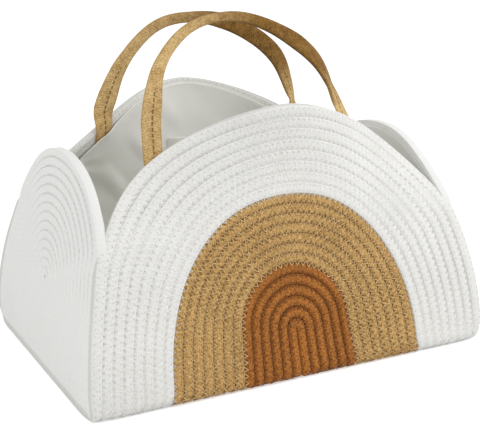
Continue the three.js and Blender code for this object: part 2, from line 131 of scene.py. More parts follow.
# Cloth lining and its hem
CLOTH_THICKNESS = 0.0012
LINING_DEPTH = 0.0092
LINING_HEM = 0.0036
LINING_FOOT = 0.011
LINING_FOOT_ROWS = 6
LINING_RAYS = 76
LINING_COLUMNS = 44
SIDE_LINING_ROWS = 44
SIDE_LINING_COLUMNS = 45
FLOOR_ROWS = 14
FLOOR_COLUMNS = 41
FLOOR_LIFT = 0.0004
HEM_SEAM_INSET = 0.0026
HEM_STITCH_STEP = 0.0030
HEM_STITCH_SHARE = 0.36
HEM_THREAD_RADIUS = 0.0004

# Folds of the cloth: waves are in radians per metre
WRINKLE_DEPTH = 0.0036
WRINKLE_QUIET_SHARE = 0.35
WRINKLE_REACH = BASE_WIDTH / 3
WRINKLE_WAVES = np.array([105, 40, 95])
WRINKLE_POWER = 1.5
CROSS_WAVES = np.array([-36, 0, 30])
CROSS_START = 1.3
FINE_WAVES = np.array([55, 0, 170])
FINE_WRINKLE = 0.0004
PLEAT_ACROSS = 0.129
PLEAT_HEIGHT = 0.160
PLEAT_DEPTH = 0.0026
PLEAT_REACH = 0.030
PLEAT_CLEAR = 0.008
PLEAT_WAVES = 11

# Pocket
POCKET_LEFT = -0.020
POCKET_RIGHT = 0.080
POCKET_BOTTOM = 0.062
POCKET_TOP = 0.173
POCKET_BULGE = 0.015
POCKET_SEAT = 0.0016
POCKET_ROWS = 26
POCKET_COLUMNS = 30
POCKET_SIDE_POWER = 0.8
POCKET_RISE_POWER = 0.7

# Straps: flat webbing that is sewn down at its feet, twisted in its legs and rolled at its grip
STRAP_WIDTH = 0.0180
STRAP_THICKNESS = 0.0034
TAIL_THICKNESS = 0.0020
GRIP_WIDTH = 0.0080
GRIP_THICKNESS = 0.0068
STRAP_SEAT = 0.0012
STRAP_TAIL = 0.014
STRAP_BULGE = 0.0021
STRAP_BULGE_REACH = 0.024
STRAP_SEAM_LENGTH = 0.058
STRAP_STEP = 0.003
STRAP_SIDES = 28
STRAP_CORNER_POWER = 0.6
STRAP_SMOOTHINGS = 4
ARCH_PLACES = 16
LEG_PLACES = 8
HINGE_RADIUS = 0.003
HINGE_GAP = 0.0006
HINGE_RISE = 0.0093
HINGE_BLEND = 0.012
INSET_POWER = 1.5
LEFT_TWIST = math.radians(-24)
RIGHT_TWIST = math.radians(49)
TAIL_TWIST_SHARE = 0.6
GRIP_PLACE_SHARES = [0, 0.05, 0.11, 0.20, 0.32, 0.45, 0.575, 0.655, 0.745, 0.86, 1]
# Where the strap's browner reverse side shows over the arch, its colour darkened further with painted shade
REVERSE_AND_SHADE_PLACE_SHARES = [0.28, 0.46, 0.58, 0.87, 1.02]
REVERSE_AND_SHADE_SHARES = [0, 0.60, 1, 0.95, 0]
TAIL_PLACE_SHARES = [-0.03, 0.02, 0.98, 1.03]
TAIL_SHARES = [1, 0, 0, 1]
HANDLES = {
    "front_handle": {
        "side": -1, "legs": (-0.1044, 0.0733), "feet": (-0.1050, 0.0733), "crown_inset": 0.045,
        "crown": 0.2992,
        "along_shares": [0, 0.062, 0.235, 0.469, 0.698, 0.889, 1],
        "rise_shares": [0, 0.534, 0.901, 0.989, 0.82, 0.489, 0],
        "twist_shares": [-0.08, 0.04, 0.30, 0.72, 0.935, 1.10],
        "grip_shares": [0.17, 0.22, 0.52, 0.85, 0.97, 1, 0.84, 0.68, 0.38, 0.24, 0.10],
    },
    "back_handle": {
        "side": 1, "legs": (-0.0979, 0.0958), "feet": (-0.1015, 0.0970), "crown_inset": 0.050,
        "crown": 0.2902,
        "along_shares": [0, 0.096, 0.262, 0.482, 0.701, 0.898, 1],
        "rise_shares": [0, 0.527, 0.924, 0.984, 0.828, 0.490, 0],
        "twist_shares": [-0.08, 0.04, 0.30, 0.80, 1.02, 1.14],
        "grip_shares": [0, 0.08, 0.36, 0.70, 0.80, 0.85, 0.34, 0.26, 0.20, 0.18, 0.10],
    },
}

# Stage and lights
FLOOR_HALF = 12
FLOOR_WHITE = 0.85
FLOOR_ROUGHNESS = 0.9
BACKGROUND_LIFT = 0.45
WORLD_LIGHT = 0.72
LIGHT_TARGET = (0, 0, 0.1)
KEY_LIGHT = {"place": (0.95, -0.75, 1.25), "size": 0.9, "power": 10.5}
FILL_LIGHT = {"place": (-1.8, -0.2, 1.1), "size": 1.4, "power": 6.5}

# The photograph's camera, found by fitting the object's outlines
CAMERA_AZIMUTH = math.radians(-27.61)
CAMERA_ELEVATION = math.radians(15.837)
CAMERA_DISTANCE = 0.99953
CAMERA_TARGET = (0.00998, 0.00040, 0.11097)
SENSOR_WIDTH = 36
FOCAL_PIXELS = 1074.24
PHOTO_WIDTH = 484

QUARTER_TURN = math.pi / 2
FULL_TURN = 2 * math.pi


def long_lean(z):
    return LONG_LEAN * np.sin(QUARTER_TURN * z / LONG_LEAN_HEIGHT)


def side_lean(z):
    return SIDE_LEAN * np.maximum(z / SIDE_HEIGHT, 0) ** SIDE_LEAN_POWER


# The two long walls and the two side walls. A wall runs along axis 0 or 1; sign is its side of the middle.
FRONT_WALL = {
    "axis": 0, "half": BASE_WIDTH / 2, "away": BASE_DEPTH / 2, "corner_along": CORNER_INSET_X,
    "corner_away": CORNER_INSET_Y, "height": LONG_HEIGHT, "arch_drop": LONG_ARCH_DROP,
    "arch_power": LONG_ARCH_POWER, "curl": LONG_SHOULDER_CURL, "lean": long_lean, "sign": -1, "sway": 0,
}
BACK_WALL = {
    **FRONT_WALL, "height": LONG_HEIGHT - BACK_DROOP, "curl": BACK_CURL, "sign": 1, "sway": BACK_SWAY,
}
LEFT_WALL = {
    "axis": 1, "half": BASE_DEPTH / 2, "away": BASE_WIDTH / 2, "corner_along": CORNER_INSET_Y,
    "corner_away": CORNER_INSET_X, "height": SIDE_HEIGHT + LEFT_RISE, "arch_drop": SIDE_ARCH_DROP,
    "arch_power": SIDE_ARCH_POWER, "curl": SIDE_SHOULDER_CURL, "lean": side_lean, "sign": -1,
    "sway": LEFT_SWAY,
}
RIGHT_WALL = {
    **LEFT_WALL, "height": SIDE_HEIGHT + RIGHT_RISE, "curl": RIGHT_CURL, "sign": 1, "sway": RIGHT_SWAY,
}
LONG_WALLS = {"front": FRONT_WALL, "back": BACK_WALL}
SIDE_WALLS = {"left": LEFT_WALL, "right": RIGHT_WALL}


# The walls' surfaces, as the frame has them
def smooth_share(value, start, end):
    share = np.clip((value - start) / (end - start), 0, 1)
    return share * share * (3 - 2 * share)


def corner_inset(inset, z):
    return inset * (np.clip(z, 0, NOTCH_HEIGHT) / NOTCH_HEIGHT) ** 2


def edge_half(wall, z):
    return wall["half"] - corner_inset(wall["corner_along"], z)


def wall_distance(wall, along, z):
    low = np.minimum(z, NOTCH_HEIGHT)
    rise = np.maximum(z - NOTCH_HEIGHT, 0) / (wall["height"] - NOTCH_HEIGHT)
    edge_share = (along / edge_half(wall, z)) ** 2
    extra = corner_inset(wall["corner_away"], low) - wall["lean"](low) + wall["curl"] * rise ** SHOULDER_POWER
    return wall["away"] - wall["lean"](z) - edge_share * extra


def arch_outline(wall):
    """Half width of a wall's outline at a height: the corner seam, then the arch."""
    centre = NOTCH_HEIGHT - wall["arch_drop"]
    power = wall["arch_power"]
    rise = wall["height"] - centre
    half = edge_half(wall, NOTCH_HEIGHT) / (1 - (wall["arch_drop"] / rise) ** power) ** (1 / power)

    def half_at(z):
        share = np.clip((z - centre) / rise, 0, 1)
        return np.where(z <= NOTCH_HEIGHT, edge_half(wall, z), half * (1 - share ** power) ** (1 / power))
    return half_at


def band_outline(band):
    """Half width of a colour band at a height: straight legs, then an arch."""
    def half_at(z):
        legs = band["foot"] + (band["spring"] - band["foot"]) * z / band["spring_height"]
        share = np.clip((z - band["spring_height"]) / (band["arch"] - band["spring_height"]), 0, 1)
        arch = band["spring"] * (1 - share ** band["power"]) ** (1 / band["power"])
        return np.where(z <= band["spring_height"], legs, arch)
    return half_at


def side_outline(wall):
    """A side wall's half width: beside the corner course up to the notch, then its own arch."""
    outline = arch_outline(wall)

    def half_at(z):
        below = 1 - smooth_share(z, NOTCH_HEIGHT - SIDE_SEAM_EASE, NOTCH_HEIGHT + SIDE_SEAM_EASE)
        return outline(z) - ROPE_THICKNESS * below
    return half_at


def ray_length(half_at, angle, spine_height):
    """Distance from the spine's end to an outline along a ray, by halving."""
    near = np.zeros_like(angle)
    far = np.full_like(angle, BASE_WIDTH)
    for _ in range(HALVINGS):
        middle = (near + far) / 2
        inside = middle * np.cos(angle) < half_at(spine_height + middle * np.sin(angle))
        near = np.where(inside, middle, near)
        far = np.where(inside, far, middle)
    return near


def settled(points, wall):
    """Points of a wall after its soft top has swayed along the wall and its corners were rounded."""
    points = np.array(points, float)
    points[..., wall["axis"]] += wall["sway"] * smooth_share(points[..., 2], SWAY_START, SWAY_END)
    near_x = np.clip((np.abs(points[..., 0]) - BASE_WIDTH / 2) / CORNER_ROUND_REACH + 1, 0, 1)
    near_y = np.clip((np.abs(points[..., 1]) - BASE_DEPTH / 2) / CORNER_ROUND_REACH + 1, 0, 1)
    low = np.clip(1 - points[..., 2] / CORNER_ROUND_HEIGHT, 0, 1)
    pull = CORNER_ROUND_PULL * (near_x * near_y * low) ** 2
    points[..., 0] -= np.sign(points[..., 0]) * pull
    points[..., 1] -= np.sign(points[..., 1]) * pull
    return points


# Lines along the courses
def mat_stations(rows, rays):
    """Stations from the middle of the base to the apex of a long wall."""
    base = [("base", y) for y in np.linspace(0, BASE_DEPTH / 2 - FOLD_RADIUS, rows)[:-1]]
    fold = [("fold", turn) for turn in np.linspace(0, QUARTER_TURN, FOLD_ROWS)[:-1]]
    legs = [("leg", z) for z in np.linspace(FOLD_RADIUS, MAT_SPINE_HEIGHT, LEG_ROWS)[:-1]]
    arch = [("ray", angle) for angle in np.linspace(0, QUARTER_TURN, rays)]
    return base + fold + legs + arch


def mat_surface(wall, station, along, z, depth):
    """A point of a long wall's half of the mat, before it settles, and the direction inwards, for x >= 0."""
    kind, value = station
    sign = wall["sign"]
    if kind == "base":
        return np.array([along, sign * value, depth]), np.array([0, 0, 1.0])
    if kind == "fold":
        inward = np.array([0, -sign * math.sin(value), math.cos(value)])
        height = FOLD_RADIUS * (1 - math.cos(value))
        away = wall_distance(wall, along, height) - FOLD_RADIUS * (1 - math.sin(value))
        return np.array([along, sign * away, height]) + depth * inward, inward
    away = wall_distance(wall, along, z)
    slope = (wall_distance(wall, along, z + EDGE_STEP) - away) / EDGE_STEP
    settle_in = smooth_share(z, FOLD_RADIUS, 2 * FOLD_RADIUS)
    inward = np.array([0, -sign, settle_in * slope])
    inward /= np.linalg.norm(inward)
    return np.array([along, sign * away, z]) + depth * inward, inward


def mat_place(station, inner_at, outer_at, share):
    """Where a share of a band's width lies on a station's line, in the plane of the wall."""
    kind, value = station
    if kind == "ray":
        angle = np.array([value])
        inner = ray_length(inner_at, angle, MAT_SPINE_HEIGHT)[0] if inner_at else 0
        outer = ray_length(outer_at, angle, MAT_SPINE_HEIGHT)[0]
        reach = inner + (outer - inner) * share
        return reach * math.cos(value), MAT_SPINE_HEIGHT + reach * math.sin(value)
    z = {"base": 0, "fold": FOLD_RADIUS * (1 - math.cos(value)), "leg": value}[kind]
    inner = float(inner_at(np.array(z))) if inner_at else 0
    outer = float(outer_at(np.array(z)))
    return inner + (outer - inner) * share, z


def mat_quarter(band, wall, share, depth):
    """A course's line over a quarter of the mat: its points and the directions inwards."""
    outer_at = band["outer"] or arch_outline(wall)
    points, inwards = [], []
    for station in mat_stations(BASE_ROWS, ARCH_RAYS):
        along, z = mat_place(station, band["inner"], outer_at, share)
        point, inward = mat_surface(wall, station, along, z, depth)
        points.append(point)
        inwards.append(inward)
    return np.array(points), np.array(inwards)


def mat_loop(band, share, depth):
    """A closed course: up and down the back wall, over the base, up and down the front wall."""
    loop_points, loop_inwards = [], []
    for wall in (BACK_WALL, FRONT_WALL):
        points, inwards = mat_quarter(band, wall, share, depth)
        for side, order in ((wall["sign"], 1), (-wall["sign"], -1)):
            mirror = np.array([side, 1, 1])
            loop_points.append(settled(points * mirror, wall)[::order][:-1])
            loop_inwards.append((inwards * mirror)[::order][:-1])
    return np.concatenate(loop_points), np.concatenate(loop_inwards)


def side_arch(wall, share, depth):
    """A side wall's course: up from the base at the front, over the arch and down at the back."""
    outline = side_outline(wall)
    places = []
    for z in np.linspace(SIDE_FOOT, SIDE_SPINE_HEIGHT, SIDE_FOOT_ROWS)[:-1]:
        places.append((float(outline(np.array(z))) * share, z))
    angles = np.linspace(0, QUARTER_TURN, ARCH_RAYS)
    reach = ray_length(outline, angles, SIDE_SPINE_HEIGHT) * share
    places += list(zip(reach * np.cos(angles), SIDE_SPINE_HEIGHT + reach * np.sin(angles)))
    half = np.array(places)
    v = np.concatenate([-half[:-1, 0], half[::-1, 0]])
    z = np.concatenate([half[:-1, 1], half[::-1, 1]])
    x = wall_distance(wall, v, z) - depth
    points = np.stack([wall["sign"] * x, v, z], axis=1)
    inwards = np.tile([-wall["sign"], 0, 0], (len(points), 1)).astype(float)
    return settled(points, wall), inwards


# Mesh helpers
def new_piece(name, points, faces, edges=()):
    mesh = bpy.data.meshes.new(name)
    mesh.from_pydata([tuple(p) for p in points], list(edges), faces)
    mesh.update()
    return linked(name, mesh)


def linked(name, data):
    made = bpy.data.objects.new(name, data)
    bpy.context.scene.collection.objects.link(made)
    return made


def smooth(piece):
    piece.data.shade_smooth()
    return piece


def keep_values(piece, label, values, kind="FLOAT", key="value"):
    """A value at each point of a mesh, for a node tree to read."""
    layer = piece.data.attributes.new(label, kind, "POINT")
    layer.data.foreach_set(key, np.asarray(values, np.float32).ravel())


def lengths_along(points):
    return np.concatenate([[0], np.cumsum(np.linalg.norm(np.diff(points, axis=0), axis=1))])


def resampled(points, inwards, step, closed):
    """The same line with even steps, and its inward directions."""
    if closed:
        points = np.concatenate([points, points[:1]])
        inwards = np.concatenate([inwards, inwards[:1]])
    lengths = lengths_along(points)
    count = max(int(round(lengths[-1] / step)), FEWEST_STEPS)
    places = np.linspace(0, lengths[-1], count + 1)
    if closed:
        places = places[:-1]
    even = np.stack([np.interp(places, lengths, points[:, i]) for i in range(3)], axis=1)
    inward = np.stack([np.interp(places, lengths, inwards[:, i]) for i in range(3)], axis=1)
    return even, inward / np.linalg.norm(inward, axis=1, keepdims=True)


def nearest(points, line):
    """Distance from each point to a line."""
    return np.array([np.sqrt(((line - point) ** 2).sum(axis=1).min()) for point in points])


def half_gaps(line, edges, closed):
    """Half the room that a course has between its two edges, point by point."""
    dense = [resampled(edge, np.ones_like(edge), EDGE_STEP, closed)[0] for edge in edges]
    return sum(nearest(line, edge) for edge in dense) / len(dense)


def guide_lines(name, lines, step):
    """A mesh of edges that a node tree turns into rope or thread.

    A line is its points, the directions inwards, the edges of its course, and whether it closes.
    """
    points, inwards, edges, halves, swings, start = [], [], [], [], [], 0
    for line in lines:
        closed = line["closed"]
        even, inward = resampled(line["points"], line["inwards"], step, closed)
        count = len(even)
        points.append(even)
        inwards.append(inward)
        halves.append(half_gaps(even, line["edges"], closed) if line["edges"] else np.ones(count))
        swings.append(np.sin(np.arange(count) * QUARTER_TURN))
        last = count if closed else count - 1
        edges += [(start + i, start + (i + 1) % count) for i in range(last)]
        start += count
    guide = new_piece(name, np.concatenate(points), [], edges)
    keep_values(guide, "inward", np.concatenate(inwards), "FLOAT_VECTOR", "vector")
    keep_values(guide, "half_width", np.concatenate(halves))
    keep_values(guide, "swing", np.concatenate(swings))
    return guide


# Node trees, for shapes and for materials alike
class Field:
    """A value in a node tree that Python operators work on."""

    def __init__(self, maker, socket):
        self.maker = maker
        self.socket = socket

    def _math(self, operation, *values):
        return self.maker.node("ShaderNodeMath", {"operation": operation}, *values)

    def __add__(self, other):
        return self._math("ADD", self, other)

    def __radd__(self, other):
        return self._math("ADD", other, self)

    def __sub__(self, other):
        return self._math("SUBTRACT", self, other)

    def __rsub__(self, other):
        return self._math("SUBTRACT", other, self)

    def __mul__(self, other):
        return self._math("MULTIPLY", self, other)

    def __rmul__(self, other):
        return self._math("MULTIPLY", other, self)

    def __truediv__(self, other):
        return self._math("DIVIDE", self, other)

    def __rtruediv__(self, other):
        return self._math("DIVIDE", other, self)

    def __pow__(self, other):
        return self._math("POWER", self, other)

    def __rpow__(self, other):
        return self._math("POWER", other, self)

    def sine(self):
        return self._math("SINE", self)

    def sign(self):
        return self._math("SIGN", self)

    def absolute(self):
        return self._math("ABSOLUTE", self)

    def greatest(self, other):
        return self._math("MAXIMUM", self, other)

    def clamped(self):
        return self.maker.node("ShaderNodeClamp", None, self)

    def ramp(self, start, end):
        """0 below start, 1 above end, smooth between."""
        settings = {"interpolation_type": "SMOOTHSTEP"}
        return self.maker.node("ShaderNodeMapRange", settings, self, start, end, 0.0, 1.0)

    def scaled(self, share):
        """A vector times a number."""
        return self.maker.node("ShaderNodeVectorMath", {"operation": "SCALE"}, self, Scale=share)

    def crossed(self, other):
        return self.maker.node("ShaderNodeVectorMath", {"operation": "CROSS_PRODUCT"}, self, other)

    def less(self, other):
        """A vector less another vector."""
        return self.maker.node("ShaderNodeVectorMath", {"operation": "SUBTRACT"}, self, other)

    def also(self, output):
        """Another result of the same node."""
        return Field(self.maker, self.socket.node.outputs[output])


class NodeMaker:
    """Adds nodes to a tree, whose results are Fields."""

    def __init__(self, tree):
        self.tree = tree

    def plug(self, value, socket):
        if isinstance(value, Field):
            self.tree.links.new(value.socket, socket)
        elif value is not None:
            socket.default_value = value

    def node(self, kind, settings=None, *values, output=0, **named):
        made = self.tree.nodes.new(kind)
        for key, value in (settings or {}).items():
            setattr(made, key, value)
        for value, socket in zip(values, made.inputs):
            self.plug(value, socket)
        for key, value in named.items():
            self.plug(value, made.inputs[key.replace("_", " ")])
        return Field(self, made.outputs[output])


SIZE = "NodeSocketFloat"
COUNT = "NodeSocketInt"


class ShapeTree(NodeMaker):
    """A geometry node tree with named inputs, the last of them its material."""

    def __init__(self, name, **inputs):
        super().__init__(bpy.data.node_groups.new(name, "GeometryNodeTree"))
        face = self.tree.interface
        face.new_socket("Geometry", in_out="INPUT", socket_type="NodeSocketGeometry")
        face.new_socket("Geometry", in_out="OUTPUT", socket_type="NodeSocketGeometry")
        for label, kind in {**inputs, "Material": "NodeSocketMaterial"}.items():
            face.new_socket(label, in_out="INPUT", socket_type=kind)
        self.inputs = self.tree.nodes.new("NodeGroupInput").outputs

    def given(self, label):
        return Field(self, self.inputs[label])

    def kept(self, label, kind="FLOAT"):
        """What a mesh attribute holds at each point."""
        settings = {"data_type": kind}
        return self.node("GeometryNodeInputNamedAttribute", settings, Name=label, output="Attribute")

    def inward(self):
        return self.kept("inward", "FLOAT_VECTOR")

    def keep(self, geometry, label, value):
        settings = {"data_type": "FLOAT", "domain": "POINT"}
        return self.node("GeometryNodeStoreNamedAttribute", settings,
                         Geometry=geometry, Name=label, Value=value)

    def places(self):
        """The x and y of the points at hand."""
        x = self.node("ShaderNodeSeparateXYZ", None, self.node("GeometryNodeInputPosition"))
        return x, x.also("Y")

    def guide(self):
        """The guide's lines as curves whose normal points inwards."""
        curve = self.node("GeometryNodeMeshToCurve", Mesh=self.given("Geometry"))
        return self.node("GeometryNodeSetCurveNormal", {"mode": "FREE"}, Curve=curve, Normal=self.inward())

    def ring(self, radius):
        return self.node("GeometryNodeCurvePrimitiveCircle", Resolution=self.given("Sides"), Radius=radius)

    def finished(self, mesh):
        """Ends the tree in plain geometry with its material."""
        real = self.node("GeometryNodeRealizeInstances", Geometry=mesh)
        made = self.node("GeometryNodeSetMaterial", Geometry=real, Material=self.given("Material"))
        self.plug(made, self.tree.nodes.new("NodeGroupOutput").inputs[0])
        return self.tree


def squared(value, squareness):
    """A circle's coordinate moved out to a rounded oblong's."""
    return value.absolute() ** (2 / squareness) * value.sign()


def oblong_ring(tree):
    """A rounded oblong section, with its places across and through kept for the material."""
    through, across = (squared(place, tree.given("Squareness")) for place in tree.places())
    place = tree.node("ShaderNodeCombineXYZ", X=through, Y=across)
    ring = tree.node("GeometryNodeSetPosition", Geometry=tree.ring(1.0), Position=place)
    through, across = tree.places()
    return tree.keep(tree.keep(ring, "through", through), "across", across)


def flattened(tree, mesh):
    """The sweep is as thick as it is wide: each point is drawn in to the rope's own thickness."""
    extra = tree.given("Thickness") / 2 - tree.kept("width")
    shift = extra * tree.kept("through")
    return tree.node("GeometryNodeSetPosition", Geometry=mesh, Offset=tree.inward().scaled(shift))


def rope_tree():
    """Guide lines to rope: an oblong section that faces the wall, as wide as its course leaves room."""
    tree = ShapeTree("rope", Squareness=SIZE, Fullness=SIZE, Thickness=SIZE, Sides=COUNT)
    length = tree.node("GeometryNodeSplineParameter", output="Length")
    width = tree.kept("half_width") * tree.given("Fullness")
    curve = tree.keep(tree.keep(tree.guide(), "along", length), "width", width)
    mesh = tree.node("GeometryNodeCurveToMesh", None, curve, oblong_ring(tree), Scale=width, Fill_Caps=True)
    return tree.finished(flattened(tree, mesh))


def stitch_tree():
    """Groove lines to zigzag thread that reaches into the courses on both sides."""
    tree = ShapeTree("stitches", Reach=SIZE, Rise=SIZE, Radius=SIZE, Sides=COUNT)
    swing = tree.kept("swing")
    tangent = tree.node("GeometryNodeInputTangent")
    aside = tangent.crossed(tree.inward()).scaled(swing * tree.given("Reach"))
    outward = tree.inward().scaled(swing.absolute() * tree.given("Rise"))
    curve = tree.node("GeometryNodeSetPosition", Geometry=tree.guide(), Offset=aside.less(outward))
    ring = tree.ring(tree.given("Radius"))
    return tree.finished(tree.node("GeometryNodeCurveToMesh", None, curve, ring, Fill_Caps=True))


def seam_tree():
    """Guide lines to a run of short stitches, one thread on each even step."""
    tree = ShapeTree("seam", Radius=SIZE, Length=SIZE)
    points = tree.node("GeometryNodeCurveToPoints", {"mode": "EVALUATED"}, tree.guide())
    ball = tree.node("GeometryNodeMeshIcoSphere", Radius=1.0, Subdivisions=1)
    radius = tree.given("Radius")
    size = tree.node("ShaderNodeCombineXYZ", X=radius, Y=radius, Z=tree.given("Length") / 2)
    return tree.finished(tree.node("GeometryNodeInstanceOnPoints", Points=points, Instance=ball,
                                   Rotation=points.also("Rotation"), Scale=size))


def evaluated_piece(guide, name, tree, material, **values):
    """The mesh that a node tree makes from a guide, as a plain piece."""
    modifier = guide.modifiers.new("make", "NODES")
    modifier.node_group = tree
    for label, value in {**values, "Material": material}.items():
        modifier[tree.interface.items_tree[label].identifier] = value
    graph = bpy.context.evaluated_depsgraph_get()
    mesh = bpy.data.meshes.new_from_object(guide.evaluated_get(graph))
    bpy.data.objects.remove(guide)
    mesh.name = name
    return smooth(linked(name, mesh))


# Materials: a noise is its scale, detail and roughness, and an edge is where a ramp starts and ends
SPECULAR_LEVEL = 0.2
SHEEN_ROUGHNESS = 0.6
MIDDLE = 0.5

# A Mix node has sockets for every kind of value, and these are the ones for colours
MIX_COLOURS = (6, 7)
MIX_RESULT = 2


class Finish(NodeMaker):
    """A material under construction."""

    def __init__(self, name, roughness, sheen=0.0):
        self.material = bpy.data.materials.new(name)
        self.material.use_nodes = True
        super().__init__(self.material.node_tree)
        self.surface = self.tree.nodes["Principled BSDF"]
        for label, value in (("Roughness", roughness), ("Specular IOR Level", SPECULAR_LEVEL),
                             ("Sheen Weight", sheen), ("Sheen Roughness", SHEEN_ROUGHNESS)):
            self.surface.inputs[label].default_value = value

    def attribute(self, name):
        return self.node("ShaderNodeAttribute", {"attribute_name": name}, output="Fac")

    def place(self):
        return self.node("ShaderNodeTexCoord", output="Object")

    def noise(self, scale, detail, roughness):
        settings = {"noise_dimensions": "3D"}
        return self.node("ShaderNodeTexNoise", settings, Vector=self.place(), Scale=scale,
                         Detail=detail, Roughness=roughness)

    def mix(self, share, first, second):
        mixed = self.node("ShaderNodeMix", {"data_type": "RGBA"}, share, output=MIX_RESULT)
        for value, place in zip((first, second), MIX_COLOURS):
            self.plug(value, mixed.socket.node.inputs[place])
        return mixed

    def colour(self, value):
        self.plug(value, self.surface.inputs["Base Color"])

    def bump(self, height, distance, strength):
        normal = self.node("ShaderNodeBump", Height=height, Distance=distance, Strength=strength)
        self.plug(normal, self.surface.inputs["Normal"])


def rgba(red, green, blue):
    return (red, green, blue, 1.0)


def shaded(colour, share):
    """A colour at a share of its brightness."""
    return tuple(part * share for part in colour[:3]) + (1.0,)


# Rope: crossing strands, yarn and tufts, needle holes in two rows, dark flecks, and painted shade in the
# grooves
ROPE_ROUGHNESS = 0.95
ROPE_SHEEN = 0.04
BRAID_PITCH = 0.0034
BRAID_SLANT = 3.2
YARN_NOISE = (900.0, 3.0, 0.7)
TUFT_NOISE = (560.0, 2.0, 0.6)
BLOTCH_NOISE = (26.0, 2.0, 0.5)
ROPE_TONE_SHARES = {"middle": 0.58, "yarn": 1.4, "tuft": 1.3, "strands": 0.07, "blotch": 0.5}
ROPE_RELIEF_SHARES = {"strands": 0.35, "yarn": 0.6, "tuft": 0.6, "needle": 0.8, "fleck": 0.4}
ROPE_BUMP_STRENGTH = 0.8
NEEDLE_ROW = 0.5
NEEDLE_ROW_EDGE = (0.08, 0.16)
NEEDLE_EDGE = (0.55, 0.9)
FLECK_PITCH = 0.0024
FLECK_DRIFT = 9.0
FLECK_ROWS = 9.0
FLECK_ROW_DRIFT = 4.0
FLECK_EDGE = (0.5, 0.95)
GROOVE_SHADE_EDGE = (0.84, 1.0)
# Each look: its light and dark colours; how dark the painted shade in the grooves is and how much of it there
# is; its grain, needle holes, flecks and relief
ROPE_LOOKS = {
    "white": {"light": rgba(0.90, 0.895, 0.865), "dark": rgba(0.71, 0.705, 0.675), "groove_shade": 0.70,
              "grain": 0.9, "groove": 0.36, "needles": 0.38, "flecks": 0.16, "relief": 0.0003},
    "side": {"light": rgba(0.875, 0.875, 0.855), "dark": rgba(0.81, 0.81, 0.79), "groove_shade": 0.90,
             "grain": 0.6, "groove": 0.08, "needles": 0.10, "flecks": 0.0, "relief": 0.0002},
    "tan": {"light": rgba(0.74, 0.47, 0.185), "dark": rgba(0.25, 0.125, 0.028), "groove_shade": 0.30,
            "grain": 1.5, "groove": 0.90, "needles": 0.70, "flecks": 0.50, "relief": 0.0006},
    "rust": {"light": rgba(0.55, 0.21, 0.042), "dark": rgba(0.19, 0.060, 0.010), "groove_shade": 0.40,
             "grain": 1.5, "groove": 0.85, "needles": 0.60, "flecks": 0.95, "relief": 0.0006},
}


def rope_finish(name, look):
    """Woven cotton rope."""
    finish = Finish(name, ROPE_ROUGHNESS, ROPE_SHEEN)
    tone, relief = ROPE_TONE_SHARES, ROPE_RELIEF_SHARES
    along = finish.attribute("along")
    across = finish.attribute("across")
    turn = along * (FULL_TURN / BRAID_PITCH)
    slant = across * BRAID_SLANT
    strands = (turn + slant).sine().greatest((turn - slant).sine())
    yarn = finish.noise(*YARN_NOISE)
    tuft = finish.noise(*TUFT_NOISE)
    blotch = finish.noise(*BLOTCH_NOISE)
    rough = (yarn - MIDDLE) * tone["yarn"] + (tuft - MIDDLE) * tone["tuft"] + strands * tone["strands"]
    shade = (tone["middle"] + rough * look["grain"] + (blotch - MIDDLE) * tone["blotch"]).clamped()
    row = 1.0 - (across.absolute() - NEEDLE_ROW).absolute().ramp(*NEEDLE_ROW_EDGE)
    needle = (along * (FULL_TURN / STITCH_PERIOD) + across * math.pi).sine().ramp(*NEEDLE_EDGE) * row
    fleck_way = (along * (FULL_TURN / FLECK_PITCH) + tuft * FLECK_DRIFT).sine()
    fleck = (fleck_way * (across * FLECK_ROWS + tuft * FLECK_ROW_DRIFT).sine()).ramp(*FLECK_EDGE)
    # Painted shade: the rope darkens towards the grooves between courses, down to a shaded copy of its dark
    # colour
    groove = across.absolute().ramp(*GROOVE_SHADE_EDGE)
    kept = (1.0 - needle * look["needles"]) * (1.0 - groove * look["groove"]) * (1.0 - fleck * look["flecks"])
    body = finish.mix(shade, look["dark"], look["light"])
    finish.colour(finish.mix(kept, shaded(look["dark"], look["groove_shade"]), body))
    height = strands * relief["strands"] + yarn * relief["yarn"] + tuft * relief["tuft"]
    height = height - needle * relief["needle"] - fleck * relief["fleck"]
    finish.bump(height, look["relief"], ROPE_BUMP_STRENGTH)
    return finish.material


# Thread
THREAD_ROUGHNESS = 0.7
THREAD_SHEEN = 0.1
THREAD_NOISE = (260.0, 1.0, 0.5)
THREAD_EDGE = (0.35, 0.65)


def thread_finish(name, light, dark):
    finish = Finish(name, THREAD_ROUGHNESS, THREAD_SHEEN)
    finish.colour(finish.mix(finish.noise(*THREAD_NOISE).ramp(*THREAD_EDGE), dark, light))
    return finish.material


# Lining and pocket cloth
CLOTH_ROUGHNESS = 0.85
CLOTH_SHEEN = 0.2
WEAVE_WAVES = 5200.0
WEAVE_SHARE = 0.5
CLOTH_NOISE = (700.0, 2.0, 0.5)
CLOTH_TONE_NOISE = (14.0, 3.0, 0.5)
CLOTH_TONE_START = 0.35
CLOTH_TONE_GAIN = 1.6
CLOTH_RELIEF = 0.00015
CLOTH_BUMP_STRENGTH = 0.35


def cloth_finish(name, light, dark):
    """Smooth plain cloth: a fine weave, soft changes of tone."""
    finish = Finish(name, CLOTH_ROUGHNESS, CLOTH_SHEEN)
    x = finish.node("ShaderNodeSeparateXYZ", None, finish.place())
    weave = (x.also("Z") * WEAVE_WAVES).sine() * ((x + x.also("Y")) * WEAVE_WAVES).sine()
    tone = finish.noise(*CLOTH_TONE_NOISE)
    finish.colour(finish.mix((tone - CLOTH_TONE_START) * CLOTH_TONE_GAIN, dark, light))
    finish.bump(weave * WEAVE_SHARE + finish.noise(*CLOTH_NOISE), CLOTH_RELIEF, CLOTH_BUMP_STRENGTH)
    return finish.material
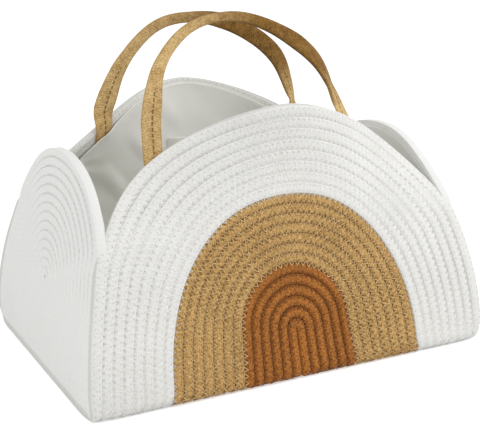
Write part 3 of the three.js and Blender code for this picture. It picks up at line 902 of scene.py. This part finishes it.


# Strap webbing: slanted ribs, long fibres, a browner reverse side darkened further with painted shade, and a
# dashed seam where it is sewn
RIB_PITCH = 0.0022
RIB_SLANT = 7.0
FIBRE_NOISE = (620.0, 3.0, 0.7)
PATCH_NOISE = (150.0, 2.0, 0.5)
STRAP_TONE_SHARES = {"middle": 0.62, "ribs": 0.12, "fibre": 2.4, "patch": 1.2}
STRAP_RELIEF_SHARES = {"ribs": 0.3, "fibre": 0.9, "seam": 1.5}
STRAP_RELIEF = 0.0006
STRAP_BUMP_STRENGTH = 0.6
STRAP_EDGE_DARKENING = (0.75, 1.05)
STRAP_EDGE_DARKENING_SHARE = 0.45
SEAM_PITCH = 0.0048
SEAM_DASH_EDGE = (-0.8, -0.4)
SEAM_ASIDE = 0.12
SEAM_EDGE = (0.04, 0.12)
SEAM_SHARE = 0.8
STRAP_LIGHT = rgba(0.76, 0.54, 0.25)
STRAP_DARK = rgba(0.36, 0.20, 0.06)
# Colours of the strap's reverse side, with painted shade in them
REVERSE_AND_SHADE_LIGHT = rgba(0.31, 0.16, 0.034)
REVERSE_AND_SHADE_DARK = rgba(0.075, 0.032, 0.006)
SEAM_COLOUR = rgba(0.17, 0.09, 0.022)


def strap_finish():
    """Coarse webbing."""
    finish = Finish("strap_webbing", ROPE_ROUGHNESS, ROPE_SHEEN)
    tone, relief = STRAP_TONE_SHARES, STRAP_RELIEF_SHARES
    along = finish.attribute("along")
    across = finish.attribute("across")
    ribs = (along * (FULL_TURN / RIB_PITCH) + across.absolute() * RIB_SLANT).sine()
    fibre = finish.noise(*FIBRE_NOISE)
    patch = finish.noise(*PATCH_NOISE)
    shade = ribs * tone["ribs"] + tone["middle"] + (fibre - MIDDLE) * tone["fibre"]
    shade = (shade + (patch - MIDDLE) * tone["patch"]).clamped()
    # The webbing is darker towards its edges
    shade = shade * (1.0 - across.absolute().ramp(*STRAP_EDGE_DARKENING) * STRAP_EDGE_DARKENING_SHARE)
    face = finish.mix(shade, STRAP_DARK, STRAP_LIGHT)
    reverse_and_shade = finish.mix(shade, REVERSE_AND_SHADE_DARK, REVERSE_AND_SHADE_LIGHT)
    # Painted shade: towards the crown's right the strap turns to its browner reverse, painted darker still
    # for shade
    body = finish.mix(finish.attribute("reverse_and_shade"), face, reverse_and_shade)
    dash = (along * (FULL_TURN / SEAM_PITCH)).sine().ramp(*SEAM_DASH_EDGE)
    seam = (1.0 - (across + SEAM_ASIDE).absolute().ramp(*SEAM_EDGE)) * finish.attribute("seam") * dash
    finish.colour(finish.mix(seam * SEAM_SHARE, body, SEAM_COLOUR))
    height = ribs * relief["ribs"] + fibre * relief["fibre"] - seam * relief["seam"]
    finish.bump(height, STRAP_RELIEF, STRAP_BUMP_STRENGTH)
    return finish.material


ROPE_FINISHES = {name: rope_finish(name + "_rope", look) for name, look in ROPE_LOOKS.items()}
THREADS = {
    "white": thread_finish("white_thread", rgba(0.90, 0.90, 0.87), rgba(0.80, 0.80, 0.77)),
    "tan": thread_finish("tan_thread", rgba(0.90, 0.69, 0.36), rgba(0.66, 0.44, 0.19)),
    "rust": thread_finish("rust_thread", rgba(0.40, 0.15, 0.03), rgba(0.24, 0.08, 0.015)),
}
lining_cloth = cloth_finish("lining_cloth", rgba(0.90, 0.898, 0.85), rgba(0.83, 0.828, 0.785))
# Painted light: the pocket's cloth is a lighter copy of the lining cloth, for the pocket's bulge towards the
# light
pocket_cloth = cloth_finish("pocket_cloth", rgba(0.92, 0.918, 0.87), rgba(0.85, 0.848, 0.805))
strap_webbing = strap_finish()


# Rope courses and their stitches
RUST_OUTLINE = band_outline(RUST_BAND)
TAN_OUTLINE = band_outline(TAN_BAND)
MAT_BANDS = [
    {"name": "rust", "inner": None, "outer": RUST_OUTLINE, "courses": RUST_COURSES},
    {"name": "tan", "inner": RUST_OUTLINE, "outer": TAN_OUTLINE, "courses": TAN_COURSES},
    {"name": "white", "inner": TAN_OUTLINE, "outer": None, "courses": WHITE_COURSES},
]
ROPE_TREE = rope_tree()
STITCH_TREE = stitch_tree()


def course_line(line_at, course, courses, closed):
    """A course's middle line and its two edges, where line_at gives the line at a share and a depth."""
    points, inwards = line_at((course + 0.5) / courses, ROPE_THICKNESS / 2)
    edges = [line_at((course + step) / courses, ROPE_THICKNESS / 2)[0] for step in (0, 1)]
    return {"points": points, "inwards": inwards, "edges": edges, "closed": closed}


def groove_line(line_at, course, courses, closed):
    """The groove before a course."""
    points, inwards = line_at(course / courses, STITCH_DIP)
    return {"points": points, "inwards": inwards, "edges": None, "closed": closed}


def dress(piece, slot, *nodes):
    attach(piece, "basket")
    if nodes:
        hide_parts(*nodes)


def rope_pieces(node, slot, names, looks, line_at, courses, first_groove, closed, rise):
    """The courses of one band or wall and the stitches over its grooves."""
    rope_name, stitch_name = names
    rope_look, thread_look = looks
    lines = [course_line(line_at, course, courses, closed) for course in range(courses)]
    guide = guide_lines(rope_name + "_guide", lines, ROPE_STEP)
    rope = evaluated_piece(guide, rope_name, ROPE_TREE, ROPE_FINISHES[rope_look],
                           Sides=ROPE_SIDES, **ROPE_SHAPES[rope_look])
    dress(rope, slot, node)
    lines = [groove_line(line_at, course, courses, closed) for course in range(first_groove, courses)]
    guide = guide_lines(stitch_name + "_guide", lines, STITCH_PERIOD / STITCH_STEPS)
    thread = evaluated_piece(guide, stitch_name, STITCH_TREE, THREADS[thread_look], Reach=STITCH_REACH,
                             Rise=rise, Radius=THREAD_RADII[thread_look], Sides=THREAD_SIDES)
    dress(thread, slot)


def band_pieces(band):
    colour = band["name"]
    node = colour + "_rope"

    def line_at(share, depth):
        return mat_loop(band, share, depth)
    first_groove = 0 if band["inner"] else 1
    rope_pieces(node, node, (node + "_courses", colour + "_stitches"), (colour, colour), line_at,
                band["courses"], first_groove, True, STITCH_RISE)


def side_pieces(side, wall):
    def line_at(share, depth):
        return side_arch(wall, share, depth)
    rope_pieces(side + "_side_rope", "white_rope", (side + "_side_courses", side + "_side_stitches"),
                ("side", "white"), line_at, SIDE_COURSES, 1, False, SIDE_STITCH_RISE)


for band in MAT_BANDS:
    band_pieces(band)
for side, wall in SIDE_WALLS.items():
    side_pieces(side, wall)


# Rim heights, and the straps' places, which the lining bulges over
def rim_line(wall, spine_height, rays, inset=0):
    """The height of a wall's rim, or of a line inside it, at a place across the wall."""
    angles = np.linspace(0, QUARTER_TURN, rays)
    reach = ray_length(arch_outline(wall), angles, spine_height) - inset
    across = reach * np.cos(angles)
    height = spine_height + reach * np.sin(angles)
    return lambda place: float(np.interp(abs(place), across[::-1], height[::-1]))


def rim_height(wall, x):
    """Height of a long wall's rim at a place along it, once its top has swayed."""
    return rim_line(wall, MAT_SPINE_HEIGHT, RIM_RAYS)(x - wall["sway"])


def hinge_away(handle):
    """The hinge line's distance from the middle, as in the frame, where both long walls are alike."""
    walls = [float(wall_distance(FRONT_WALL, abs(leg), rim_height(FRONT_WALL, leg)))
             for leg in handle["legs"]]
    return min(walls) - ROPE_THICKNESS - HINGE_GAP - HINGE_RADIUS


def hinge_height(handle):
    return max(rim_height(FRONT_WALL, leg) for leg in handle["legs"]) + HINGE_RISE


def long_wall(handle):
    return FRONT_WALL if handle["side"] < 0 else BACK_WALL


def strap_tails():
    """Where the straps' sewn tails end: the wall's sign, the place across it and the height."""
    tails = []
    for handle in HANDLES.values():
        wall = long_wall(handle)
        tails += [(wall["sign"], x, rim_height(wall, x) - LINING_HEM - STRAP_TAIL) for x in handle["feet"]]
    return tails


TAILS = strap_tails()


def strap_bulge(wall, x, z):
    """How far the lining stands off over a strap's sewn tail."""
    bulge = 0
    for sign, foot, tail in TAILS:
        if sign != wall["sign"]:
            continue
        beside = 1 - smooth_share(abs(x - foot), STRAP_WIDTH / 2, STRAP_WIDTH / 2 + STRAP_BULGE_REACH)
        below = smooth_share(z, tail - STRAP_BULGE_REACH, tail)
        bulge = max(bulge, STRAP_BULGE * float(beside * below))
    return bulge


# Cloth panels
def grid_piece(name, rows, material):
    """A sheet from rows of points, given its thickness on both sides of them."""
    across = len(rows[0])
    points = [point for row in rows for point in row]
    faces = [(r * across + c, r * across + c + 1, (r + 1) * across + c + 1, (r + 1) * across + c)
             for r in range(len(rows) - 1) for c in range(across - 1)]
    piece = new_piece(name, points, faces)
    piece.data.materials.append(material)
    solid = piece.modifiers.new("cloth", "SOLIDIFY")
    solid.thickness = CLOTH_THICKNESS
    solid.offset = 0
    finer = piece.modifiers.new("soft", "SUBSURF")
    finer.levels = 1
    finer.render_levels = 1
    return smooth(piece)


def cloth_panel(name, rows, material, node):
    """A panel in place, with its part in the frame hidden."""
    piece = grid_piece(name, rows, material)
    dress(piece, "lining_cloth", node)


def wrinkle(point):
    """Soft folds of the cloth, pulled slantwise, deepest towards the left end."""
    quiet = WRINKLE_QUIET_SHARE
    left = quiet + (1 - quiet) * float(smooth_share(-point[0], 0, WRINKLE_REACH))
    slant = math.sin(WRINKLE_WAVES @ point) * math.sin(CROSS_WAVES @ point + CROSS_START)
    fine = (1 + math.sin(FINE_WAVES @ point)) / 2
    return WRINKLE_DEPTH * left * max(slant, 0) ** WRINKLE_POWER + FINE_WRINKLE * fine


def pleat(point):
    """Small pleats that fan out on a long wall from its hem, beside a strap's sewn end."""
    across = PLEAT_ACROSS - abs(point[0])
    up = point[2] - PLEAT_HEIGHT
    distance = math.hypot(across, up)
    fade = math.exp(-(distance / PLEAT_REACH) ** 2) * float(smooth_share(distance, 0, PLEAT_CLEAR))
    return PLEAT_DEPTH * fade * (1 + math.sin(PLEAT_WAVES * math.atan2(up, across))) / 2


def lining_point(wall, sign, along, z, lift=0):
    """A point on a long wall's lining, with the cloth's folds, and the direction inwards there."""
    mirror = np.array([sign, 1, 1])
    depth = LINING_DEPTH + lift + strap_bulge(wall, sign * along + wall["sway"], z)
    point, inward = mat_surface(wall, ("leg", z), along, z, depth)
    folds = wrinkle(point * mirror) + pleat(point)
    return settled((point + inward * folds) * mirror, wall), inward * mirror


def arch_places(angles, reach):
    return [(length * math.cos(angle), MAT_SPINE_HEIGHT + length * math.sin(angle))
            for angle, length in zip(angles, reach)]


def lining_rays(wall):
    """Each row of a long wall's lining: its height in the middle, and its end's place along and height."""
    outline = arch_outline(wall)
    rays = [(z, float(outline(np.array(z))) - LINING_DEPTH, z)
            for z in np.linspace(LINING_FOOT, MAT_SPINE_HEIGHT, LINING_FOOT_ROWS)[:-1]]
    angles = np.linspace(0, QUARTER_TURN, LINING_RAYS)
    reach = ray_length(outline, angles, MAT_SPINE_HEIGHT)
    height = MAT_SPINE_HEIGHT + reach * np.sin(angles)
    over = smooth_share(height, NOTCH_HEIGHT - SIDE_SEAM_EASE, NOTCH_HEIGHT + SIDE_SEAM_EASE)
    reach = reach - LINING_DEPTH + (LINING_DEPTH - LINING_HEM) * over
    return rays + [(MAT_SPINE_HEIGHT, along, z) for along, z in arch_places(angles, reach)]


def long_lining_rows(wall):
    """Rows of a long wall's lining, from the fold at the base up to its hem."""
    rows = []
    rays = lining_rays(wall)
    shares = np.linspace(0, 1, LINING_COLUMNS)
    for sign in (1, -1):
        half = []
        for start, along, end in rays:
            half.append([lining_point(wall, sign, along * share, start + (end - start) * share)[0]
                         for share in shares])
        rows += half if sign > 0 else half[-2::-1]
    return rows


def side_lining_rows(wall):
    """Rows of a side wall's lining, from the fold at the base up to its hem."""
    top_at = rim_line(wall, SIDE_SPINE_HEIGHT, SIDE_RIM_RAYS, LINING_HEM)
    outline = side_outline(wall)
    widest = float(outline(np.array(NOTCH_HEIGHT))) - CLOTH_THICKNESS
    rows = []
    for rise in np.linspace(0, 1, SIDE_LINING_ROWS):
        row = []
        for across in np.sin(QUARTER_TURN * np.linspace(-1, 1, SIDE_LINING_COLUMNS)):
            z = LINING_FOOT + (top_at(across * widest) - LINING_FOOT) * rise
            half = float(outline(np.array(min(z, NOTCH_HEIGHT)))) - CLOTH_THICKNESS
            along = across * half
            x = wall_distance(wall, along, z) - LINING_DEPTH
            x -= wrinkle(np.array([x, along, z]))
            row.append(settled(np.array([wall["sign"] * x, along, z]), wall))
        rows.append(row)
    return rows


def floor_rows():
    """The floor cloth, turned up a little at the folds."""
    rows = []
    half = BASE_WIDTH / 2 - LINING_DEPTH
    for wall in LONG_WALLS.values():
        half_rows = []
        for station in mat_stations(FLOOR_ROWS, 0):
            kind, value = station
            if kind not in ("base", "fold"):
                continue
            z = FOLD_RADIUS * (1 - math.cos(value)) if kind == "fold" else 0
            row = []
            for share in np.linspace(-1, 1, FLOOR_COLUMNS):
                point, _ = mat_surface(wall, station, abs(share) * half, z, LINING_DEPTH + FLOOR_LIFT)
                row.append(settled(np.array([share * half, point[1], point[2]]), wall))
            half_rows.append(row)
        rows += half_rows[:0:-1] if wall["sign"] < 0 else half_rows
    return rows


for name, wall in LONG_WALLS.items():
    cloth_panel(name + "_lining_cloth", long_lining_rows(wall), lining_cloth, name + "_lining")
for name, wall in SIDE_WALLS.items():
    cloth_panel(name + "_lining_cloth", side_lining_rows(wall), lining_cloth, name + "_lining")
cloth_panel("floor_lining_cloth", floor_rows(), lining_cloth, "floor_lining")


# A sewn line along each long lining's hem
def hem_line(wall):
    """The hem's stitching, a little below the lining's edge and on its face."""
    angles = np.linspace(0, QUARTER_TURN, HEM_RAYS)
    reach = ray_length(arch_outline(wall), angles, MAT_SPINE_HEIGHT) - LINING_HEM - HEM_SEAM_INSET
    places = [(along, z) for along, z in arch_places(angles, reach) if z >= NOTCH_HEIGHT]
    stations = []
    for sign in (1, -1):
        stations += [lining_point(wall, sign, along, z, CLOTH_THICKNESS / 2) for along, z in places][::sign]
    points, inwards = (np.array(values) for values in zip(*stations))
    return {"points": points, "inwards": inwards, "edges": None, "closed": False}


SEAM_TREE = seam_tree()
for name, wall in LONG_WALLS.items():
    guide = guide_lines(name + "_hem_guide", [hem_line(wall)], HEM_STITCH_STEP)
    seam = evaluated_piece(guide, name + "_hem_stitches", SEAM_TREE, THREADS["white"],
                           Radius=HEM_THREAD_RADIUS, Length=2 * HEM_STITCH_STEP * HEM_STITCH_SHARE)
    dress(seam, "lining_cloth")


# Pocket
def pocket_rows():
    rows = []
    for rise in np.linspace(0, 1, POCKET_ROWS):
        row = []
        for share in np.linspace(0, 1, POCKET_COLUMNS):
            along = POCKET_LEFT + (POCKET_RIGHT - POCKET_LEFT) * share
            z = POCKET_BOTTOM + (POCKET_TOP - POCKET_BOTTOM) * rise
            across = max(math.sin(math.pi * share), 0) ** POCKET_SIDE_POWER
            bulge = POCKET_BULGE * across * rise ** POCKET_RISE_POWER
            point, _ = mat_surface(BACK_WALL, ("leg", z), abs(along), z, LINING_DEPTH + POCKET_SEAT + bulge)
            row.append(settled(np.array([along, point[1], point[2]]), BACK_WALL))
        rows.append(row)
    return rows


cloth_panel("pocket_cloth_panel", pocket_rows(), pocket_cloth, "back_pocket")


# Straps
def arch_points(handle):
    """A smooth curve through the strap's places above its hinge line."""
    left, right = handle["feet"]
    base, away = hinge_height(handle), hinge_away(handle)
    rise = np.array(handle["rise_shares"])
    places = np.stack([
        left + (right - left) * np.array(handle["along_shares"]),
        handle["side"] * (away + (handle["crown_inset"] - away) * rise ** INSET_POWER),
        base + (handle["crown"] - base) * rise,
    ], axis=1)
    places = np.concatenate([[2 * places[0] - places[1]], places, [2 * places[-1] - places[-2]]])
    line = []
    for a, b, c, d in zip(places, places[1:], places[2:], places[3:]):
        way_in, way_out = (c - a) / 2, (d - b) / 2
        for t in np.linspace(0, 1, ARCH_PLACES, endpoint=False):
            line.append(b + way_in * t + (3 * (c - b) - 2 * way_in - way_out) * t ** 2
                        + (2 * (b - c) + way_in + way_out) * t ** 3)
    return line + [places[-2]]


def strap_leg(handle, foot):
    """The sewn stretch of a strap, from behind the lining's hem up to the rim."""
    wall = long_wall(handle)
    rim = rim_height(wall, foot)
    places = []
    for z in np.linspace(rim - LINING_HEM - STRAP_TAIL, rim, LEG_PLACES):
        sway = wall["sway"] * float(smooth_share(z, SWAY_START, SWAY_END))
        point, _ = mat_surface(wall, ("leg", z), abs(foot - sway), z, ROPE_THICKNESS + STRAP_SEAT)
        places.append(np.array([foot, point[1], point[2]]))
    return places


def strap_path(handle):
    """The strap's middle line with even steps, its bends eased."""
    left, right = handle["feet"]
    path = np.array(strap_leg(handle, left) + arch_points(handle) + strap_leg(handle, right)[::-1])
    even, _ = resampled(path, np.ones_like(path), STRAP_STEP, False)
    for _ in range(STRAP_SMOOTHINGS):
        even[1:-1] = (even[:-2] + 2 * even[1:-1] + even[2:]) / 4
    return even


def tail_twist(handle, foot):
    """How far a strap's sewn tail turns to lie on the curled wall."""
    wall = long_wall(handle)
    rim = rim_height(wall, foot)
    near, far = (float(wall_distance(wall, abs(foot) + step, rim)) for step in (-EDGE_STEP, EDGE_STEP))
    slope = (far - near) / (2 * EDGE_STEP)
    return math.atan(handle["side"] * math.copysign(slope, slope * foot)) * TAIL_TWIST_SHARE


def arch_shares(handle, path):
    """Each place's share of the way over the arch: 0 at the left hinge, 1 at the right hinge."""
    lengths = lengths_along(path)
    above = np.flatnonzero(path[:, 2] > hinge_height(handle))
    first, last = lengths[above[0]], lengths[above[-1]]
    return (lengths - first) / (last - first)


def strap_ways(handle, path):
    """The directions across the strap's width and through its thickness at each place of its path."""
    tangents = np.gradient(path, axis=0)
    tangents /= np.linalg.norm(tangents, axis=1, keepdims=True)
    crown_way = np.array([0, handle["side"] * (handle["crown_inset"] - hinge_away(handle)),
                          handle["crown"] - hinge_height(handle)])
    normal = np.cross([1, 0, 0], crown_way / np.linalg.norm(crown_way))
    left, right = (tail_twist(handle, foot) for foot in handle["feet"])
    twists = np.interp(arch_shares(handle, path), handle["twist_shares"],
                       [left, LEFT_TWIST, 0, 0, RIGHT_TWIST, right])
    twists *= np.sign(tangents[:, 2])
    flat = np.cross(normal, tangents)
    flat /= np.linalg.norm(flat, axis=1, keepdims=True)
    turned = np.cross(tangents, flat)
    width_ways = flat * np.cos(twists)[:, None] + turned * np.sin(twists)[:, None]
    return width_ways, np.cross(tangents, width_ways)


def strap_section():
    """Places across and through a flat section with rounded corners, from -1 to 1."""
    turns = np.linspace(0, FULL_TURN, STRAP_SIDES, endpoint=False)
    return [np.sign(wave) * np.abs(wave) ** STRAP_CORNER_POWER for wave in (np.cos(turns), np.sin(turns))]


def strap_points(handle, path, shares, across, through):
    """The strap's rings of points, one ring for each place of its path."""
    grips = np.interp(shares, GRIP_PLACE_SHARES, handle["grip_shares"])
    tails = np.interp(shares, TAIL_PLACE_SHARES, TAIL_SHARES)
    widths = STRAP_WIDTH + (GRIP_WIDTH - STRAP_WIDTH) * grips
    thicknesses = STRAP_THICKNESS + (GRIP_THICKNESS - STRAP_THICKNESS) * grips
    thicknesses += (TAIL_THICKNESS - STRAP_THICKNESS) * tails
    width_ways, thick_ways = strap_ways(handle, path)
    aside = (width_ways * widths[:, None] / 2)[:, None] * across[:, None]
    out = (thick_ways * thicknesses[:, None] / 2)[:, None] * through[:, None]
    return (path[:, None] + aside + out).reshape(-1, 3)


def ring_faces(count, sides):
    """The faces between neighbouring rings of points, and the two ends."""
    faces = []
    for start in range(0, (count - 1) * sides, sides):
        for side in range(sides):
            after = (side + 1) % sides
            faces.append((start + side, start + after, start + sides + after, start + sides + side))
    return faces + [tuple(range(sides))[::-1], tuple(range((count - 1) * sides, count * sides))]


def strap_piece(name, handle):
    """One strap in a single piece, with what its webbing's material reads at each point."""
    path = strap_path(handle)
    shares = arch_shares(handle, path)
    across, through = strap_section()
    points = strap_points(handle, path, shares, across, through)
    sides, count = STRAP_SIDES, len(path)
    piece = new_piece(name, points, ring_faces(count, sides))
    lengths = lengths_along(path)
    from_end = np.minimum(lengths, lengths[-1] - lengths)
    sewn = STRAP_TAIL + LINING_HEM + STRAP_SEAM_LENGTH
    keep_values(piece, "along", np.repeat(lengths, sides))
    keep_values(piece, "across", np.tile(across, count))
    keep_values(piece, "seam", np.repeat(1 - smooth_share(from_end, sewn, sewn + SEAM_PITCH), sides))
    # How much of the reverse side and its painted shade shows at each place of the strap
    keep_values(piece, "reverse_and_shade", np.repeat(np.interp(shares, REVERSE_AND_SHADE_PLACE_SHARES, REVERSE_AND_SHADE_SHARES), sides))
    piece.data.materials.append(strap_webbing)
    return smooth(piece)


for name, handle in HANDLES.items():
    strap = strap_piece(name + "_strap", handle)
    hinge_y = handle["side"] * hinge_away(handle)
    start, end = ((0, hinge_y, hinge_height(handle) + step) for step in (-HINGE_BLEND, HINGE_BLEND))
    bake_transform(strap)
    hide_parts(name, name + "_left_end", name + "_right_end")


# Stage, lights and camera
def level(maker, unseen, seen):
    """One strength for light on the object, another for what the camera sees, straight or in a gloss."""
    ray = maker.node("ShaderNodeLightPath", output="Is Camera Ray")
    seen_share = ray.greatest(ray.also("Is Glossy Ray"))
    return maker.node("ShaderNodeMapRange", None, seen_share, To_Min=unseen, To_Max=seen)


def stage_floor():
    corners = [(-1, -1), (1, -1), (1, 1), (-1, 1)]
    floor = new_piece("floor", [(x * FLOOR_HALF, y * FLOOR_HALF, 0) for x, y in corners], [(0, 1, 2, 3)])
    finish = Finish("floor_paper", FLOOR_ROUGHNESS)
    finish.colour(rgba(FLOOR_WHITE, FLOOR_WHITE, FLOOR_WHITE))
    finish.surface.inputs["Emission Color"].default_value = rgba(1, 1, 1)
    finish.plug(level(finish, 0, BACKGROUND_LIFT), finish.surface.inputs["Emission Strength"])
    floor.data.materials.append(finish.material)


def white_world():
    world = bpy.data.worlds.new("studio")
    world.use_nodes = True
    bpy.context.scene.world = world
    maker = NodeMaker(world.node_tree)
    back = world.node_tree.nodes["Background"]
    back.inputs["Color"].default_value = rgba(1, 1, 1)
    maker.plug(level(maker, WORLD_LIGHT, 1), back.inputs["Strength"])


def soft_light(name, place, size, power):
    lamp = bpy.data.lights.new(name, "AREA")
    lamp.energy = power
    lamp.size = size
    holder = linked(name, lamp)
    holder.location = place
    holder.rotation_euler = (Vector(LIGHT_TARGET) - Vector(place)).to_track_quat("-Z", "Y").to_euler()


def camera():
    back = Vector((math.sin(CAMERA_AZIMUTH) * math.cos(CAMERA_ELEVATION),
                   -math.cos(CAMERA_AZIMUTH) * math.cos(CAMERA_ELEVATION), math.sin(CAMERA_ELEVATION)))
    data = bpy.data.cameras.new("camera")
    data.sensor_width = SENSOR_WIDTH
    data.lens = SENSOR_WIDTH * FOCAL_PIXELS / PHOTO_WIDTH
    holder = linked("camera", data)
    holder.location = Vector(CAMERA_TARGET) + back * CAMERA_DISTANCE
    holder.rotation_euler = (-back).to_track_quat("-Z", "Y").to_euler()
    bpy.context.scene.camera = holder


stage_floor()
white_world()
soft_light("key", **KEY_LIGHT)
soft_light("fill", **FILL_LIGHT)
camera()
bpy.context.scene.view_settings.view_transform = "Standard"
